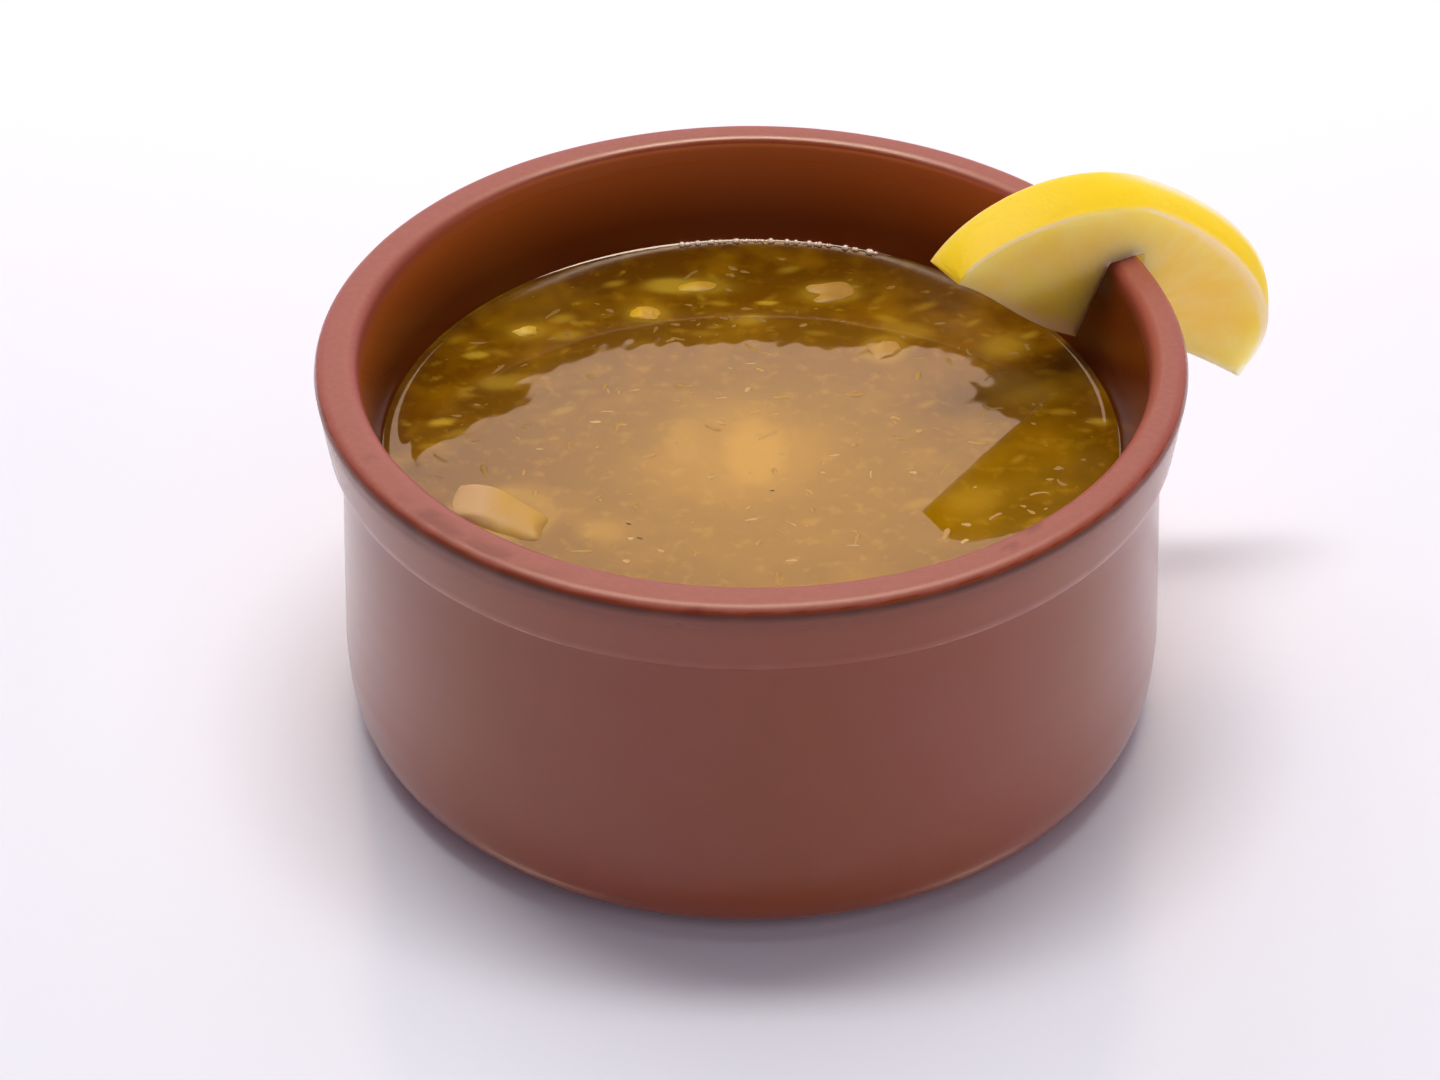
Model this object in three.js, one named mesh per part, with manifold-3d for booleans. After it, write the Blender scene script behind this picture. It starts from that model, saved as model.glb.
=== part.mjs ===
// A terracotta bowl of cow foot soup with a slit half slice of lemon astride its rim.
// Millimetres, +Z up. The origin is the middle of the bowl's flat base. The lemon hangs on the
// +X side, a little towards +Y.

import * as THREE from "three";
import { mergeVertices } from "three/addons/utils/BufferGeometryUtils.js";
import Module from "manifold-3d";

const wasm = await Module();
wasm.setup();

// Bowl: thrown red clay, a collar round the top, a nearly upright body, a flat base
const rimRadius = 72;
const bowlHeight = 69.8;
const lipWidth = 6.6;
const rimRounding = 1.9;
const lipInnerRounding = 1.4;
const collarBottom = 56.5;
const collarBottomRadius = 70.7;
const collarStepRounding = 1.3;
const collarUndercut = 0.4;
const bodyTopRadius = 68.2;
const bodyBulgeRadius = 70.5;
const bodyBulgeHeight = 15.2;
const baseRadius = 52.7;
const baseCornerFullness = 3.67;
const innerWallRadius = 61.85;
const floorThickness = 7.5;
const innerCornerRadius = 16;
const roundSides = 72;
const cornerSteps = 9;
const mergeDistance = 1e-4;

// Broth: filled to this level, drawn up a little where it wets the wall
const brothLevel = 50.3;
const meniscusHeight = 0.9;
const meniscusWidth = 2.2;
const meniscusSteps = 3;
const gap = 0.3;

// Pieces of cow foot that break the surface. Each is length, width and height, where it floats,
// how far its long side is turned from +X, how far it stands out of the broth, how square it is
const pieces = [
  { name: "cartilage_large", size: [17.5, 11, 7], at: [-40.2, -21.2], turn: -27, rise: 1.3, square: 0.8 },
  { name: "cartilage_slab", size: [9, 5.6, 3.4], at: [14.4, 44.8], turn: 6, rise: 0.5, square: 0.55 },
  { name: "cartilage_long", size: [9.4, 3.8, 3], at: [-9.2, 47], turn: 8, rise: 0.6, square: 0.85 },
  { name: "cartilage_round", size: [7.2, 7.6, 4], at: [23.2, 26.6], turn: 20, rise: 0.5, square: 0.9 },
  { name: "cartilage_yellow", size: [6.6, 4.6, 3.2], at: [-18.4, 38], turn: -12, rise: 0.7, square: 0.7 },
  { name: "cartilage_oval", size: [5.4, 3.6, 2.8], at: [-39.4, 32.4], turn: 12, rise: 0.5, square: 0.95 },
];
const pieceMeridians = 16;
const pieceParallels = 9;
const pieceLumps = 0.07;

// Shreds of meat that lie in the surface, the longest first
const shredCount = 58;
const shredLongest = 4.6;
const shredShortest = 1.8;
const shredWidth = 1.1;
const shredHeight = 0.8;
const shredRise = 0.25;
const shredReach = 56;
const shredClearance = 1.2;
const shredSwing = 0.5;
const shredScatter = 5;
const shredShuffle = 23;
const goldenAngle = Math.PI * (3 - Math.sqrt(5));

// Lemon: half a round slice. Its straight edge runs from the inner tip over the wall, falling
// outwards; the slit in that edge holds the wall, and the outer wing bends back a little
const sliceTip = new THREE.Vector3(34.4, 6.5, 76.4);
const sliceSlope = 0.6;
const sliceDroop = THREE.MathUtils.degToRad(35);
const sliceLength = 64.6;
const sliceThickness = 8.3;
const sliceCrest = 28;
const sliceHeightFront = 21.4;
const sliceHeightBack = 23.9;
const sliceEndHeight = 1.2;
const innerFullnessFront = 1.55;
const innerFullnessBack = 1.85;
const outerFullness = 2.6;
const fleshSag = 3.2;
const fleshSagLength = 24;
const slitSagStart = 34;
const slitSagEnd = 50;
const rindBulge = 0.5;
const wingBendStart = 66;
const wingBend = 0.01;
const slitLeft = [[29.3, -6], [29.3, -3.2], [27.6, 6], [26, 10.6]];
const slitRight = [[31, 13.9], [45.5, -6]];
const sliceColumns = 40;
const sliceRows = 6;
const sliceLayers = 3;
const slitWallDepth = 30;

const clay = new THREE.MeshStandardMaterial({ color: 0x8c4a3a, roughness: 0.4, metalness: 0 });
const soup = new THREE.MeshStandardMaterial({ color: 0x9a6a24, roughness: 0.12, metalness: 0 });
const meat = new THREE.MeshStandardMaterial({ color: 0xd2a877, roughness: 0.35, metalness: 0 });
const lemon = new THREE.MeshStandardMaterial({ color: 0xf2d02c, roughness: 0.45, metalness: 0 });

// An arc of a circle from one angle to another, in degrees, as profile points
function arc(centreR, centreZ, radius, fromDeg, toDeg, steps) {
  return Array.from({ length: steps + 1 }, (_, i) => {
    const angle = THREE.MathUtils.degToRad(fromDeg + ((toDeg - fromDeg) * i) / steps);
    return new THREE.Vector2(centreR + radius * Math.cos(angle), centreZ + radius * Math.sin(angle));
  });
}

// The body's lower corner: a quarter superellipse from the base edge up to the widest place
function baseCorner(steps) {
  return Array.from({ length: steps + 1 }, (_, i) => {
    const turn = (Math.PI / 2) * (i / steps);
    const power = 2 / baseCornerFullness;
    const out = Math.sin(turn) ** power;
    const down = Math.cos(turn) ** power;
    return new THREE.Vector2(
      baseRadius + (bodyBulgeRadius - baseRadius) * out,
      bodyBulgeHeight * (1 - down),
    );
  });
}

// Radius of the inner wall at a height: leaning in from the lip to the broth, upright below it
function innerRadius(z) {
  const lean = (rimRadius - lipWidth - innerWallRadius) / (bowlHeight - brothLevel);
  return innerWallRadius + lean * Math.max(z - brothLevel, 0);
}

// The rounded corner between the floor and the inner wall, drawn in by a clearance
function innerCorner(clearance) {
  const centreR = innerWallRadius - innerCornerRadius;
  const centreZ = floorThickness + innerCornerRadius;
  return arc(centreR, centreZ, innerCornerRadius - clearance, -90, 0, 6);
}

function bowlProfile() {
  const lipInner = rimRadius - lipWidth;
  return [
    new THREE.Vector2(0, 0),
    ...baseCorner(cornerSteps),
    new THREE.Vector2(bodyTopRadius, collarBottom - collarUndercut),
    ...arc(
      collarBottomRadius - collarStepRounding, collarBottom + collarStepRounding,
      collarStepRounding, -80, 0, 3,
    ),
    ...arc(rimRadius - rimRounding, bowlHeight - rimRounding, rimRounding, 0, 90, 4),
    ...arc(lipInner + lipInnerRounding, bowlHeight - lipInnerRounding, lipInnerRounding, 90, 170, 3),
    new THREE.Vector2(innerWallRadius, brothLevel),
    ...innerCorner(0).reverse(),
    new THREE.Vector2(0, floorThickness),
  ];
}

// A profile in radius and height turned round +Z
function turned(profile, sides) {
  return new THREE.LatheGeometry(profile, sides).rotateX(Math.PI / 2);
}

// The broth from the floor up to its level surface, which curves up to the wall at the edge
function brothProfile() {
  const wall = innerWallRadius - gap;
  const climb = Array.from({ length: meniscusSteps + 1 }, (_, i) => {
    const share = 1 - i / meniscusSteps;
    const z = brothLevel + meniscusHeight * share ** 2;
    return new THREE.Vector2(innerRadius(z) - gap - meniscusWidth * (1 - share), z);
  });
  return [
    new THREE.Vector2(0, floorThickness + gap),
    ...innerCorner(gap),
    new THREE.Vector2(wall, brothLevel),
    ...climb,
    new THREE.Vector2(0, brothLevel),
  ];
}

// A closed geometry as a manifold solid, its faces turned outwards, and back again
function solid(geometry) {
  const bare = geometry.clone();
  bare.deleteAttribute("normal");
  bare.deleteAttribute("uv");
  const merged = mergeVertices(bare, mergeDistance);
  return new wasm.Manifold(
    new wasm.Mesh({
      numProp: 3,
      vertProperties: new Float32Array(merged.attributes.position.array),
      triVerts: new Uint32Array(merged.index.array),
    }),
  );
}

function surface(made) {
  const mesh = made.getMesh();
  const geometry = new THREE.BufferGeometry();
  geometry.setAttribute("position", new THREE.BufferAttribute(mesh.vertProperties.slice(), 3));
  geometry.setIndex(new THREE.BufferAttribute(mesh.triVerts.slice(), 1));
  geometry.computeVertexNormals();
  return geometry;
}

// A number from 0 to 1 that is fixed for each whole number and salt
function chance(index, salt) {
  const value = Math.sin(index * 12.9898 + salt * 78.233) * 43758.5453;
  return value - Math.floor(value);
}

// A rounded, slightly lumpy piece: an ellipsoid whose sides are squared by a power below one
function pieceGeometry(piece, margin) {
  const [length, width, height] = piece.size.map((side) => side / 2 + margin);
  const geometry = new THREE.SphereGeometry(1, pieceMeridians, pieceParallels);
  const position = geometry.attributes.position;
  const squared = (value) => Math.sign(value) * Math.abs(value) ** piece.square;
  for (let i = 0; i < position.count; i += 1) {
    const p = new THREE.Vector3().fromBufferAttribute(position, i);
    const round = Math.hypot(p.x, p.z);
    const lump =
      1 + pieceLumps * Math.sin(3 * Math.atan2(p.z, p.x) + piece.size[0]) * round * round;
    position.setXYZ(
      i, squared(p.x) * length * lump, -squared(p.z) * width * lump, squared(p.y) * height,
    );
  }
  geometry.rotateZ(THREE.MathUtils.degToRad(piece.turn));
  const z = brothLevel + piece.rise - piece.size[2] / 2;
  return geometry.translate(piece.at[0], piece.at[1], z);
}

// Where shred number i lies: a golden spiral, unevenly shaken
function shredPlace(i) {
  const radius = shredReach * Math.sqrt((i + 0.5) / shredCount);
  const angle = i * goldenAngle + shredSwing * chance(i, 1);
  const reach = Math.min(radius + shredScatter * (chance(i, 2) - 0.5), shredReach);
  return new THREE.Vector2(reach * Math.cos(angle), reach * Math.sin(angle));
}

function clearOfPieces(place, length) {
  return pieces.every((piece) => {
    const [x, y] = piece.at;
    const away = Math.hypot(place.x - x, place.y - y);
    return away > (piece.size[0] + length) / 2 + shredClearance;
  });
}

function shredGeometry(i) {
  const order = ((i * shredShuffle) % shredCount) / (shredCount - 1);
  const length = THREE.MathUtils.lerp(shredLongest, shredShortest, order);
  const width = shredWidth * (0.7 + 0.5 * chance(i, 3));
  const place = shredPlace(i);
  if (!clearOfPieces(place, length)) {
    return null;
  }
  const geometry = new THREE.IcosahedronGeometry(0.5, 0);
  geometry.scale(length, width, shredHeight);
  geometry.rotateZ(Math.PI * chance(i, 4));
  return geometry.translate(place.x, place.y, brothLevel + shredRise - shredHeight / 2);
}

function brothSolid() {
  let made = solid(turned(brothProfile(), roundSides));
  for (const piece of pieces) {
    made = made.subtract(solid(pieceGeometry(piece, gap)));
  }
  for (let i = 0; i < shredCount; i += 1) {
    const shred = shredGeometry(i);
    if (shred) {
      made = made.add(solid(shred));
    }
  }
  return made;
}

// A point of the slice from its place along and above the straight edge, and depth behind the
// front face. The faces stand upright on a line that bends back beyond the wall
function slicePoint(along, above, depth) {
  const x = sliceTip.x + along * Math.cos(sliceDroop) + above * Math.sin(sliceDroop);
  const z = sliceTip.z - along * Math.sin(sliceDroop) + above * Math.cos(sliceDroop);
  const beyond = Math.max(x - wingBendStart, 0);
  const y = sliceTip.y + sliceSlope * (x - sliceTip.x) - wingBend * beyond * beyond;
  const heading = Math.atan(sliceSlope - 2 * wingBend * beyond);
  return new THREE.Vector3(x - depth * Math.sin(heading), y + depth * Math.cos(heading), z);
}

// Height of the rind over the straight edge: superellipse quarters either side of the crest,
// leaner on the front face than on the back
function rindHeight(along, back) {
  const height = THREE.MathUtils.lerp(sliceHeightFront, sliceHeightBack, back) - sliceEndHeight;
  const inner = THREE.MathUtils.lerp(innerFullnessFront, innerFullnessBack, back);
  const power = along < sliceCrest ? inner : outerFullness;
  const span = along < sliceCrest ? sliceCrest : sliceLength - sliceCrest;
  const share = Math.min(Math.abs(along - sliceCrest) / span, 1);
  return sliceEndHeight + height * (1 - share ** power) ** (1 / power);
}

// The straight edge of the front face sags on the inner side of the slit
function straightEdge(along, back) {
  const share = THREE.MathUtils.smoothstep(along, 0, fleshSagLength);
  const inner = 1 - THREE.MathUtils.smoothstep(along, slitSagStart, slitSagEnd);
  return -fleshSag * share * inner * (1 - back);
}

// The slice before it is slit: a block of columns along, rows above and layers back
function sliceGeometry() {
  const vertices = [];
  const indices = [];
  const id = (i, j, k) => (i * (sliceRows + 1) + j) * (sliceLayers + 1) + k;
  for (let i = 0; i <= sliceColumns; i += 1) {
    const along = (sliceLength * (1 - Math.cos((Math.PI * i) / sliceColumns))) / 2;
    for (let j = 0; j <= sliceRows; j += 1) {
      for (let k = 0; k <= sliceLayers; k += 1) {
        const back = k / sliceLayers;
        const low = straightEdge(along, back);
        const high = rindHeight(along, back) + rindBulge * Math.sin(Math.PI * back);
        const above = low + ((high - low) * j) / sliceRows;
        vertices.push(...slicePoint(along, above, back * sliceThickness).toArray());
      }
    }
  }
  const quad = (a, b, c, d) => indices.push(a, b, c, a, c, d);
  for (let i = 0; i < sliceColumns; i += 1) {
    for (let j = 0; j < sliceRows; j += 1) {
      quad(id(i, j, 0), id(i + 1, j, 0), id(i + 1, j + 1, 0), id(i, j + 1, 0));
      const k = sliceLayers;
      quad(id(i, j, k), id(i, j + 1, k), id(i + 1, j + 1, k), id(i + 1, j, k));
    }
    for (let k = 0; k < sliceLayers; k += 1) {
      const j = sliceRows;
      quad(id(i, j, k), id(i + 1, j, k), id(i + 1, j, k + 1), id(i, j, k + 1));
      quad(id(i, 0, k), id(i, 0, k + 1), id(i + 1, 0, k + 1), id(i + 1, 0, k));
    }
  }
  for (let j = 0; j < sliceRows; j += 1) {
    for (let k = 0; k < sliceLayers; k += 1) {
      const i = sliceColumns;
      quad(id(0, j, k), id(0, j + 1, k), id(0, j + 1, k + 1), id(0, j, k + 1));
      quad(id(i, j, k), id(i, j, k + 1), id(i, j + 1, k + 1), id(i, j + 1, k));
    }
  }
  const geometry = new THREE.BufferGeometry();
  geometry.setAttribute("position", new THREE.Float32BufferAttribute(vertices, 3));
  geometry.setIndex(indices);
  return geometry;
}

// The slit: the outline of what the wall pushes apart, run through the slice
function slitGeometry() {
  const outline = new THREE.Shape(
    [...slitLeft, ...slitRight].map(([along, above]) => {
      const p = slicePoint(along, above, 0);
      return new THREE.Vector2((p.x - sliceTip.x) * Math.hypot(1, sliceSlope), p.z);
    }),
  );
  const reach = 3 * sliceThickness;
  const geometry = new THREE.ExtrudeGeometry(outline, { depth: 2 * reach, bevelEnabled: false });
  geometry.translate(0, 0, -reach);
  geometry.rotateX(Math.PI / 2);
  geometry.rotateZ(Math.atan(sliceSlope));
  return geometry.translate(sliceTip.x, sliceTip.y, 0);
}

// The top of the wall, grown by the gap on every side
function wallGeometry() {
  const low = collarBottom - slitWallDepth;
  const high = bowlHeight + gap;
  return turned(
    [
      new THREE.Vector2(innerRadius(low) - gap, low),
      new THREE.Vector2(rimRadius + gap, low),
      new THREE.Vector2(rimRadius + gap, high),
      new THREE.Vector2(innerRadius(high) - gap, high),
      new THREE.Vector2(innerRadius(brothLevel) - gap, brothLevel),
      new THREE.Vector2(innerRadius(low) - gap, low),
    ],
    roundSides,
  );
}

function lemonSolid() {
  return solid(sliceGeometry()).subtract(solid(slitGeometry())).subtract(solid(wallGeometry()));
}

function named(name, geometry, material) {
  const mesh = new THREE.Mesh(geometry, material);
  mesh.name = name;
  return mesh;
}

const bowlOfSoup = new THREE.Group();
bowlOfSoup.add(named("bowl", turned(bowlProfile(), roundSides), clay));
bowlOfSoup.add(named("broth", surface(brothSolid()), soup));
for (const piece of pieces) {
  bowlOfSoup.add(named(piece.name, pieceGeometry(piece, 0), meat));
}
bowlOfSoup.add(named("lemon_slice", surface(lemonSolid()), lemon));

export default bowlOfSoup;
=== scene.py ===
import bpy
import numpy as np
from mathutils import Matrix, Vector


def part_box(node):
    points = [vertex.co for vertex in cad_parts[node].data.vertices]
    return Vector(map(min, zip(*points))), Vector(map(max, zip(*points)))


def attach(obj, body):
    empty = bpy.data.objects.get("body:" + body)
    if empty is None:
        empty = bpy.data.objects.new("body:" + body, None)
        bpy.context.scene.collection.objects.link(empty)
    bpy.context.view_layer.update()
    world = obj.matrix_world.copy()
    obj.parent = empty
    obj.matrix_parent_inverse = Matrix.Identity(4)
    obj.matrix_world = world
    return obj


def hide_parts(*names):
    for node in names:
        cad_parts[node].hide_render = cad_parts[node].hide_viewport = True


# A bowl of cow foot soup with a slit half slice of lemon hung over its rim, in metres.
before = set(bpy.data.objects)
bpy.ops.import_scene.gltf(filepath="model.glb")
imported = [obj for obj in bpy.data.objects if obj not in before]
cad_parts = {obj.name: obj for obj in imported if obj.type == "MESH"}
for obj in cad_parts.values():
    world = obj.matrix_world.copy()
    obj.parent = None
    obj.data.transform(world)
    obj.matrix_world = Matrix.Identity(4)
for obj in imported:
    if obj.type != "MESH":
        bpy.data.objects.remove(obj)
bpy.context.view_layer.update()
scene = bpy.context.scene
mm = 0.001


# The bowl. Red clay thrown on a wheel, with a collar turned round the top. It was dipped in a
# thin brown glaze, and the flat lip was wiped bare, so there the clay shows its own dusty pink.
# Shade is painted in a dark line under the lip, and a highlight along the collar's step.
rim_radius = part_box("bowl")[1][0]
bowl_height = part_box("bowl")[1][2]
lip_width = 6.6 * mm
rim_rounding = 1.9 * mm
lip_inner_rounding = 2.2 * mm
inner_shift = np.array([0.6, 0.3]) * mm
collar_bottom = 56.5 * mm
collar_bottom_radius = 70.7 * mm
collar_step_rounding = 1.3 * mm
body_top_radius = 68.2 * mm
bulge_radius = 70.5 * mm
bulge_height = 15.2 * mm
base_radius = 52.7 * mm
corner_fullness = 3.67
wall_radius = 61.85 * mm
floor_thickness = 7.5 * mm
inner_corner = 16 * mm
broth_level = 50.3 * mm
wall_lean = (rim_radius - lip_width - wall_radius) / (bowl_height - broth_level)

clay_pink = "#9C4936"
clay_pink_dust = "#A24F3E"
glaze_red = "#8A3E22"
glaze_brown = "#883C10"
glaze_inside = "#B45A22"
# The inside's colour in painted shade, toward the broth and at the right
glaze_inside_shade = "#6E2A04"
# The colour of the painted shade under the lip's outer corner
painted_lip_shade = "#431A12"
clay_stained = "#7C2818"
# Pale thin glaze, also the colour of the painted highlight on the collar's step
thin_glaze_highlight = "#D9A096"
# Stains on the lip, in millimetres and degrees: x, y, half length, half width, turn, how dark
lip_stains = [
    (-60.0, -33.0, 1.2, 0.7, 60, 0.40), (-49.2, -48.5, 2.2, 1.2, -44, 0.80),
    (-46.4, -51.6, 2.4, 1.2, -42, 0.80), (-41.0, -56.1, 2.6, 1.0, -38, 0.75),
    (-38.6, -58.1, 1.8, 1.0, -36, 0.75), (-9.0, -71.2, 1.3, 0.5, 0, 0.80),
    (43.0, -52.0, 1.5, 0.6, 40, 0.80), (39.3, -56.5, 1.3, 0.5, 30, 0.75),
]


def arc(centre_r, centre_z, radius, start, stop, steps):
    """Points of a circle from one angle in degrees to another, as rows of (radius, height)."""
    angle = np.radians(np.linspace(start, stop, steps))
    return np.stack([centre_r + radius * np.cos(angle), centre_z + radius * np.sin(angle)], 1)


def bowl_profile():
    """The wall from the base's middle up the outside, over the lip and down inside: a quarter
    superellipse, a straight lean out to the collar, three small arcs and a rounded corner."""
    turn = np.linspace(0, np.pi / 2, 30)
    power = 2 / corner_fullness
    corner = np.stack([
        base_radius + (bulge_radius - base_radius) * np.sin(turn) ** power,
        bulge_height * (1 - np.cos(turn) ** power),
    ], 1)
    step = arc(collar_bottom_radius - collar_step_rounding, collar_bottom + collar_step_rounding,
               collar_step_rounding, -85, 0, 9)
    rim = arc(rim_radius - rim_rounding, bowl_height - rim_rounding, rim_rounding, 4, 90, 12)
    lip = arc(rim_radius - lip_width + lip_inner_rounding, bowl_height - lip_inner_rounding,
              lip_inner_rounding, 90, 172, 10)
    inside = arc(wall_radius - inner_corner, floor_thickness + inner_corner,
                 inner_corner, 0, -90, 14)
    return np.vstack([
        [[0.001 * mm, 0]], corner, [[body_top_radius, collar_bottom - 0.4 * mm]], step, rim, lip,
        [[wall_radius, broth_level]], inside, [[0.001 * mm, floor_thickness]],
    ])


def spaced(profile, longest):
    """The profile with points added on its straight stretches, none further apart than longest."""
    rows = [profile[:1]]
    for start, stop in zip(profile[:-1], profile[1:]):
        count = max(int(np.ceil(np.linalg.norm(stop - start) / longest)), 1)
        share = np.linspace(0, 1, count + 1)[1:, None]
        rows.append(start + (stop - start) * share)
    return np.vstack(rows)


def waves(points, length, seed, count=12):
    """Uneven relief from -1 to 1: a sum of waves of about one length in random directions."""
    rng = np.random.default_rng(seed)
    direction = rng.normal(size=(count, points.shape[-1]))
    direction /= np.linalg.norm(direction, axis=1)[:, None]
    direction *= 2 * np.pi / (length * rng.uniform(0.7, 1.5, count))[:, None]
    phase = rng.uniform(0, 2 * np.pi, count)
    return np.sin(points @ direction.T + phase).sum(-1) / np.sqrt(2 * count)


def turned(profile, sides):
    """The profile turned round +Z: rows of points, one ring for each profile point."""
    angle = np.linspace(0, 2 * np.pi, sides, endpoint=False)
    r, z = profile[:, :1], profile[:, 1:]
    return np.stack([r * np.cos(angle), r * np.sin(angle), z + 0 * angle], 2)


def ring_faces(rings, sides):
    """Four-sided faces between neighbouring rings, each closed on itself, facing out."""
    i, j = np.meshgrid(np.arange(rings - 1), np.arange(sides), indexing="ij")
    after = (j + 1) % sides
    corners = [i * sides + j, i * sides + after, (i + 1) * sides + after, (i + 1) * sides + j]
    return np.stack(corners, 2).reshape(-1, 4)


def new_piece(name, points, faces, material):
    """A smooth mesh object at the origin from an array of places and lists of face corners."""
    mesh = bpy.data.meshes.new(name)
    mesh.from_pydata(points.reshape(-1, 3).tolist(), [], [list(face) for face in faces])
    mesh.polygons.foreach_set("use_smooth", np.ones(len(mesh.polygons), dtype=bool))
    mesh.materials.append(material)
    piece = bpy.data.objects.new(name, mesh)
    scene.collection.objects.link(piece)
    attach(piece, "root")
    return piece


def ring_piece(name, grid, material):
    """A closed piece from rings of points, its first and last ring each closed by one face."""
    rings, sides = grid.shape[:2]
    faces = ring_faces(rings, sides).tolist()
    first = list(range(sides))[::-1]
    last = list(range((rings - 1) * sides, rings * sides))
    return new_piece(name, grid, [*faces, first, last], material)


def paint(piece, name, values):
    """Stores one value or three for each point of a piece, for its material to read."""
    values = np.asarray(values, dtype=np.float32)
    kind = "FLOAT" if values.ndim == 1 else "FLOAT_VECTOR"
    layer = piece.data.attributes.new(name, kind, "POINT")
    layer.data.foreach_set("value" if values.ndim == 1 else "vector", values.ravel())


def outside_of(points, centre, half, turn):
    """How far points lie outside an ellipse, as a share of its half length: 0 on its edge."""
    c, s = np.cos(np.radians(turn)), np.sin(np.radians(turn))
    x, y = points[..., 0] - centre[0], points[..., 1] - centre[1]
    return np.hypot((c * x + s * y) / half[0], (c * y - s * x) / half[1]) - 1


def smoothstep(value, low, high):
    """Rises from 0 at low to 1 at high with level ends."""
    share = np.clip((value - low) / (high - low), 0, 1)
    return share * share * (3 - 2 * share)


def linear(hex_colour):
    """An sRGB hex colour as linear red, green, blue and alpha."""
    channels = [int(hex_colour[i:i + 2], 16) / 255 for i in (1, 3, 5)]
    return [c / 12.92 if c <= 0.04045 else ((c + 0.055) / 1.055) ** 2.4 for c in channels] + [1]


def add(tree, kind, links=(), **settings):
    """Adds a node. Names of its properties and of its inputs are settings; links pairs an input
    with another node's output."""
    made = tree.nodes.new(kind)
    for name, value in settings.items():
        if hasattr(made, name):
            setattr(made, name, value)
        else:
            made.inputs[name.replace("_", " ")].default_value = value
    for target, source in links:
        tree.links.new(source, made.inputs[target])
    return made


def layered(tree, ground, layers):
    """Colours laid one over another: each layer is how far it covers what lies under it, and a
    colour. Colours are hex strings or outputs of nodes."""
    for cover, colour in layers:
        mix = add(tree, "ShaderNodeMix", [("Factor", cover)], data_type="RGBA")
        under, over = [socket for socket in mix.inputs if socket.type == "RGBA"]
        for socket, source in [(under, ground), (over, colour)]:
            if isinstance(source, str):
                socket.default_value = linear(source)
            else:
                tree.links.new(source, socket)
        ground = next(socket for socket in mix.outputs if socket.type == "RGBA")
    return ground


def new_material(name):
    """An empty material, with its Principled shader ready to be set."""
    material = bpy.data.materials.new(name)
    material.use_nodes = True
    tree = material.node_tree
    return material, tree, tree.nodes["Principled BSDF"]


def smooth_side(angle):
    """From 0 at the front to 1 at the sides and the back, by the angle round the bowl."""
    return np.clip((np.sin(angle) + 0.98) / 0.75, 0, 1)


def glazed_clay():
    """Fired red clay under a thin brown glaze. To the eye: satin brown with cloudy redder and
    browner fields, a clear skin that shines at the sides, a glossier inside, and a dull pink lip
    with fine grog and brown stains. Shade is painted under the lip and on the inside toward the
    broth and the right, and a highlight along the collar's step."""
    material, tree, shader = new_material("glazed_red_clay")
    place = add(tree, "ShaderNodeTexCoord").outputs["Object"]
    bare, inside, wet, edge, stain, thin, dull, skin = [
        add(tree, "ShaderNodeAttribute", attribute_name=name).outputs["Fac"]
        for name in ["bare", "inside", "wet", "edge", "stain", "thin", "dull", "skin"]
    ]
    cloud = add(tree, "ShaderNodeTexNoise", [("Vector", place)], Scale=1 / 0.030, Detail=3.0)
    cloud_fac = add(tree, "ShaderNodeMapRange", [("Value", cloud.outputs["Fac"])],
                    From_Min=0.35, From_Max=0.65)
    outer = layered(tree, glaze_red, [(cloud_fac.outputs[0], glaze_brown)])
    # The inside, darkened by painted shade toward the broth and the right
    shaded = layered(tree, glaze_inside, [(wet, glaze_inside_shade)])
    grog = add(tree, "ShaderNodeTexNoise", [("Vector", place)], Scale=1 / 0.0009, Detail=3.0)
    dust = add(tree, "ShaderNodeMapRange", [("Value", grog.outputs["Fac"])],
               From_Min=0.4, From_Max=0.7)
    lip = layered(tree, clay_pink, [(dust.outputs[0], clay_pink_dust)])
    body = layered(tree, outer, [(inside, shaded), (bare, lip), (stain, clay_stained),
                                 (edge, painted_lip_shade), (thin, thin_glaze_highlight)])
    tree.links.new(body, shader.inputs["Base Color"])
    rough = add(tree, "ShaderNodeMapRange", [("Value", dull)], To_Min=0.2, To_Max=0.5)
    tree.links.new(rough.outputs[0], shader.inputs["Roughness"])
    grain = add(tree, "ShaderNodeMath", [(0, grog.outputs["Fac"]), (1, bare)], operation="MULTIPLY")
    bump = add(tree, "ShaderNodeBump", [("Height", grain.outputs[0])], Distance=0.02 * mm,
               Strength=0.5)
    peel = add(tree, "ShaderNodeTexNoise", [("Vector", place)], Scale=1 / 0.006, Detail=2.0)
    bump_peel = add(tree, "ShaderNodeBump", [("Height", peel.outputs["Fac"]),
                                             ("Normal", bump.outputs[0])],
                    Distance=0.15 * mm, Strength=0.15)
    tree.links.new(bump_peel.outputs[0], shader.inputs["Normal"])
    shader.inputs["IOR"].default_value = 1.55
    tree.links.new(skin, shader.inputs["Coat Weight"])
    shader.inputs["Coat Roughness"].default_value = 0.28
    shader.inputs["Coat IOR"].default_value = 1.5
    return material


bowl_sides = 288
bowl_rows = spaced(bowl_profile(), 1.1 * mm)
bowl_grid = turned(bowl_rows, bowl_sides)
bowl_angle = np.linspace(0, 2 * np.pi, bowl_sides, endpoint=False)[None, :]
bowl_r, bowl_z = bowl_rows[:, :1], bowl_rows[:, 1:]

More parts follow.
